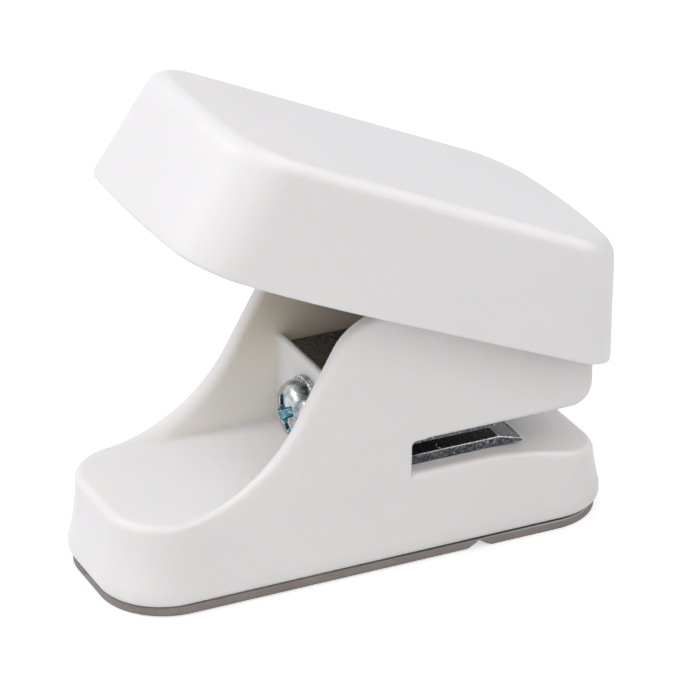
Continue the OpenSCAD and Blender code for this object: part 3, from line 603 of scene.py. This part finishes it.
def grey_plastic():
    """Matt warm grey of a softer plastic with a coarse grain.

    Towards the paper end its edge carries a paler painted highlight, under a dark line of painted shade
    at the seam."""
    n = Nodes("grey_plastic")
    colour = n.ramp(n.noise(300, detail=4), [(0.3, COVER_LOW), (0.7, COVER_HIGH)])
    edge = n.combine("MAXIMUM", n.along("Y", *RIM_Y), n.along("X", *RIM_X))
    # Painted shade of the gap between housing and cover, along the cover's top edge
    seam_shade = n.combine("MULTIPLY", n.along("Z", *SEAM_SHADE_Z), n.along("X", *SEAM_SHADE_X))
    # Painted highlight on the edge just under that shade
    lit_edge = n.combine("MULTIPLY", n.along("Z", *LIT_Z), n.along("X", *LIT_X))
    colour = n.between(n.combine("MULTIPLY", lit_edge, edge), colour, LIT_TONE)
    colour = n.between(n.combine("MULTIPLY", seam_shade, edge), colour, SEAM_SHADE_TONE)
    grain = n.bump(n.noise(3800, detail=3), distance=0.00003, strength=0.5)
    rough = n.spread(n.noise(900), low=0.62, high=0.78)
    return n.finish(colour, rough, grain, Specular_IOR_Level=0.35)


def steel(name, low, high, rough, stretch):
    """Sheared sheet: fine streaks along one way, darker stains, rubbed spots and scratches."""
    n = Nodes(name)
    streak = n.noise(5200, detail=4, stretch=stretch)
    stain = n.ramp(n.noise(2600, detail=4), [(0.34, STAIN_TONE), (0.64, CLEAR)])
    colour = n.multiply(n.ramp(streak, [(0.34, low), (0.66, high)]), stain)
    spots = n.ramp(n.noise(2400, detail=6), [(0.64, BLACK), (0.70, CLEAR)])
    colour = n.between(spots, colour, tuple(0.25 + 0.75 * c for c in high))
    scratch = n.bump(n.noise(2600, detail=3, stretch=stretch), distance=0.00003, strength=0.6)
    return n.finish(colour, n.spread(streak, *rough), scratch, Metallic=1.0)


def zinc(name, tones, scale):
    """Clear zinc plate with soft spangle and rubbed spots."""
    n = Nodes(name)
    spangle = n.noise(scale, detail=5)
    colour = n.ramp(spangle, list(zip((0.3, 0.5, 0.66, 0.74), tones)))
    rub = n.bump(n.noise(1500, detail=4), distance=0.00006, strength=0.8)
    return n.finish(colour, n.spread(n.noise(1300), low=0.14, high=0.34), rub, Metallic=1.0)


# On the housing the last two tints are painted bounce light on the cheeks' inner faces and painted warm
# shade towards their top
WHITE = white_plastic("white_plastic", (0.91, 0.884, 0.864), (1.0, 1.015, 0.99), (1.06, 1.0, 0.84))
WHITE_TOP = white_plastic("white_handle", (0.91, 0.89, 0.878), CLEAR, CLEAR)
GREY = grey_plastic()
DARK = steel("dark_steel", (0.085, 0.08, 0.073), (0.27, 0.258, 0.237), (0.4, 0.6), (1, 0.6, 1))
BRIGHT = steel("bright_steel", (0.03, 0.034, 0.042), (0.215, 0.225, 0.245), (0.3, 0.5), (0.6, 1, 1))
# Near-black bluish steel for the spacer deep in the paper slot: painted shade of the slot
SLOT_SHADE_STEEL = steel("slot_shade_steel", (0.02, 0.024, 0.032), (0.07, 0.082, 0.102), (0.35, 0.5), (1, 1, 1))
HEAD_TONES = [(0.22, 0.25, 0.26), (0.47, 0.505, 0.515), (0.66, 0.69, 0.705), (0.94, 0.95, 0.955)]
ZINC = zinc("zinc", HEAD_TONES, 900)
RECESS_TONES = [(0.03, 0.075, 0.1), (0.11, 0.25, 0.32), (0.28, 0.47, 0.55), (0.85, 0.9, 0.92)]
ZINC_BLUE = zinc("zinc_recess", RECESS_TONES, 4200)
# Bright steel for the thin lines along the die plate's upper edges
EDGE_LINE_STEEL = steel("edge_line_steel", (0.5, 0.5, 0.5), (0.85, 0.85, 0.84), (0.2, 0.35), (1, 1, 1))


def screw_to_part(p):
    """Turn points or normals of the screw so that its head looks towards the user's end."""
    c, s = math.cos(SCREW_TURN), math.sin(SCREW_TURN)
    return np.stack([-p[:, 2], p[:, 0] * c - p[:, 1] * s, -p[:, 0] * s - p[:, 1] * c], axis=1)


housing = piece("moulded_housing", *polygonise(housing_field, *HOUSING_GRID))
dress(housing, "body", "white_plastic", WHITE, "housing")
cover = piece("soft_cover", *polygonise(cover_field, *COVER_GRID))
dress(cover, "cover", "grey_plastic", GREY, "chip_cover")
points, quads, normals = polygonise(screw_field, *SCREW_GRID)
points, normals = screw_to_part(points), screw_to_part(normals)
screw = piece("pan_head_screw", points + (CROSS_X, 0, SCREW_Z), quads, normals)
dress(screw, "body", "zinc", ZINC, "frame_screw")
# The walls of the cross recess have a bluer plate than the head
screw.data.materials.append(ZINC_BLUE)
middle = points[quads].mean(axis=1)
deep = np.linalg.norm(middle - (DOME_X, 0, 0), axis=1) < DOME_R - RECESS_SKIN
deep &= (np.hypot(middle[:, 1], middle[:, 2]) < RECESS_R) & (middle[:, 0] < RECESS_X)
screw.data.polygons.foreach_set("material_index", deep.astype(int).tolist())
dress(piece("die_edges", *die_edge_lines()), "body", "bright_steel", EDGE_LINE_STEEL)
dress(piece("handle_shell", *handle_mesh()), "handle", "white_plastic", WHITE_TOP, "handle_cap")
spring = piece("coil_spring", *spring_mesh())
dress(spring, "punch", "bright_steel", BRIGHT, "return_spring")
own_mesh(spring)

# The solids that are shown as they are
finishes = {"dark_steel": DARK, "bright_steel": BRIGHT, "zinc": ZINC}
for part in frame["record"]["subparts"]:
    if part["material_slot"] in finishes:
        node = frame["nodes"][part["node"]]
        node.data.materials.clear()
        # The spacer deep in the slot takes the near-black steel, as painted shade
        shim = part["node"] == "gap_spacer"
        node.data.materials.append(SLOT_SHADE_STEEL if shim else finishes[part["material_slot"]])

# Camera, fitted to the outline of base and handle: SCALE is in pixels per millimetre, and DEPTH is
# one over the distance in millimetres
AZ, EL, PIXELS, SCALE, DEPTH = math.radians(-25.5), math.radians(25.7), 680, 8.54, 0.0022
LOOK_AT, SHIFT_RIGHT, SHIFT_UP, SENSOR, NEAR = Vector((0.5, 0, 25)), 0.56, 0.65, 36, 0.01
right = Vector((math.cos(AZ), math.sin(AZ), 0))
up = Vector((-math.sin(AZ) * math.sin(EL), math.cos(AZ) * math.sin(EL), math.cos(EL)))
back = right.cross(up)
target = LOOK_AT - right * (SHIFT_RIGHT / SCALE) - up * (SHIFT_UP / SCALE)
lens = bpy.data.cameras.new("camera")
lens.sensor_width = SENSOR
lens.lens = SENSOR * SCALE / DEPTH / PIXELS
lens.clip_start = NEAR
camera = bpy.data.objects.new("camera", lens)
camera.location = (target + back / DEPTH) * MM
camera.rotation_euler = back.to_track_quat("Z", "Y").to_euler()
bpy.context.scene.collection.objects.link(camera)
bpy.context.scene.camera = camera

AIM = (0, 0, 0.03)


def lamp(name, place, size, power, colour):
    """A square lamp that looks at the middle of the punch."""
    light = bpy.data.lights.new(name, "AREA")
    light.size, light.energy, light.color = size, power, colour
    obj = bpy.data.objects.new(name, light)
    obj.location = place
    obj.rotation_euler = (Vector(place) - Vector(AIM)).to_track_quat("Z", "Y").to_euler()
    bpy.context.scene.collection.objects.link(obj)
    return obj


lamp("key", (-0.45, 0.15, 0.75), 0.5, 2.0, (0.85, 0.91, 1))
lamp("left", (-0.6, 0.2, 0.55), 0.5, 1.02, (1, 0.98, 0.96))
lamp("front", (-0.1, -0.58, 0.57), 0.5, 1.44, (1, 0.985, 0.945))
# Seen only as a sheen along the rounded near edges
sheen = lamp("sheen", (0.32, -0.12, 0.36), 0.55, 3.3, (1, 1, 1))
sheen.visible_diffuse = False

SKY_POWER, SKY_TONE = 0.515, (0.965, 0.955, 1, 1)
FLOOR, FLOOR_Z, FLOOR_TONE, FLOOR_GLOW = 3000, -0.05, (0.8, 0.8, 0.8, 1), 0.55
FLOOR_CORNERS = ((-1, -1), (1, -1), (1, 1), (-1, 1))


def shown_white(tree, white, plain):
    """White where the camera or a reflection sees it, and the plain shader for other light."""
    path = tree.nodes.new("ShaderNodeLightPath")
    seen = path.outputs["Is Camera Ray"]
    for ray in ("Is Glossy Ray", "Is Transmission Ray"):
        either = tree.nodes.new("ShaderNodeMath")
        either.operation = "MAXIMUM"
        tree.links.new(seen, either.inputs[0])
        tree.links.new(path.outputs[ray], either.inputs[1])
        seen = either.outputs[0]
    mix = tree.nodes.new("ShaderNodeMixShader")
    for source, socket in zip((seen, plain, white), mix.inputs):
        tree.links.new(source, socket)
    return mix.outputs[0]


world = bpy.data.worlds.new("studio")
bpy.context.scene.world = world
world.use_nodes = True
tree = world.node_tree
sky = tree.nodes["Background"]
sky.inputs["Strength"].default_value = SKY_POWER
sky.inputs["Color"].default_value = SKY_TONE
bright = tree.nodes.new("ShaderNodeBackground")
bright.inputs["Color"].default_value = (1, 1, 1, 1)
shown = shown_white(tree, bright.outputs[0], sky.outputs[0])
tree.links.new(shown, tree.nodes["World Output"].inputs["Surface"])

corners = [(FLOOR * x, FLOOR * y, FLOOR_Z) for x, y in FLOOR_CORNERS]
floor = piece("floor", corners, [(0, 1, 2, 3)])
paper = bpy.data.materials.new("floor_white")
paper.use_nodes = True
tree = paper.node_tree
matt = tree.nodes.new("ShaderNodeBsdfDiffuse")
matt.inputs["Color"].default_value = FLOOR_TONE
glow = tree.nodes.new("ShaderNodeEmission")
glow.inputs["Strength"].default_value = FLOOR_GLOW
lit = tree.nodes.new("ShaderNodeAddShader")
tree.links.new(matt.outputs[0], lit.inputs[0])
tree.links.new(glow.outputs[0], lit.inputs[1])
shown = shown_white(tree, lit.outputs[0], matt.outputs[0])
tree.links.new(shown, tree.nodes["Material Output"].inputs["Surface"])
floor.data.materials.append(paper)
# The table stays under the cover, so the cover is seen when the punch is lifted off it
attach(floor, "cover")

bpy.context.scene.view_settings.view_transform = "Standard"
